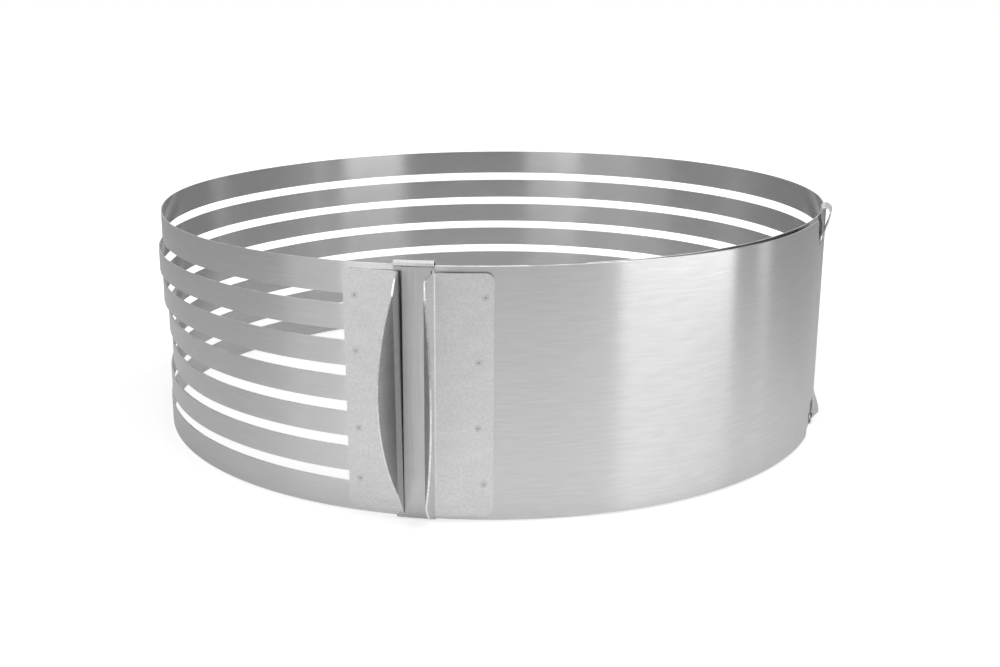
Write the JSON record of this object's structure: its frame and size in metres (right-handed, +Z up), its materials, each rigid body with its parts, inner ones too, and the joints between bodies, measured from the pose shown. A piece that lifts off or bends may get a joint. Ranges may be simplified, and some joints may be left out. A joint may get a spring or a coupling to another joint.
{
  "type": "adjustable cake ring",
  "caption": "Adjustable layer-cake slicing ring: a slotted steel band behind a plain cover panel, held by a rolled saddle clip and lanced hooks, with finger handles.",
  "frame": {"origin": "the middle of the bounding box's underside, on the surface that the ring stands on", "axes": "+Z up along the ring's axis, -Y towards the clip and its handles, +X towards the outer panel"},
  "size_m": [0.2672, 0.2848, 0.0877],
  "materials": {
    "band": "stainless, brushed along the band",
    "panel": "stainless, brushed along the sheet",
    "handle": "matte rolled stainless",
    "saddle": "stainless, brushed upright",
    "weld": "spot-welded, dull"
  },
  "bodies": {
    "band": {"slotted_band": "band", "left_handle": "handle", "left_handle_weld_1": "weld", "left_handle_weld_2": "weld", "left_handle_weld_3": "weld", "left_handle_weld_4": "weld"},
    "cover": {"outer_panel": "panel", "right_handle": "handle", "right_handle_weld_1": "weld", "right_handle_weld_2": "weld", "right_handle_weld_3": "weld", "right_handle_weld_4": "weld", "saddle_clip": "saddle", "saddle_clip_weld_1": "weld", "saddle_clip_weld_2": "weld", "saddle_clip_weld_3": "weld"}
  },
  "joints": [
    {"name": "ring_adjust", "type": "hinge", "parent": "band", "child": "cover", "pos_m": [-0.00157, 0.0104, 0.0433], "axis": [0, 0, 1], "range_deg": [0, 12.5]}
  ]
}
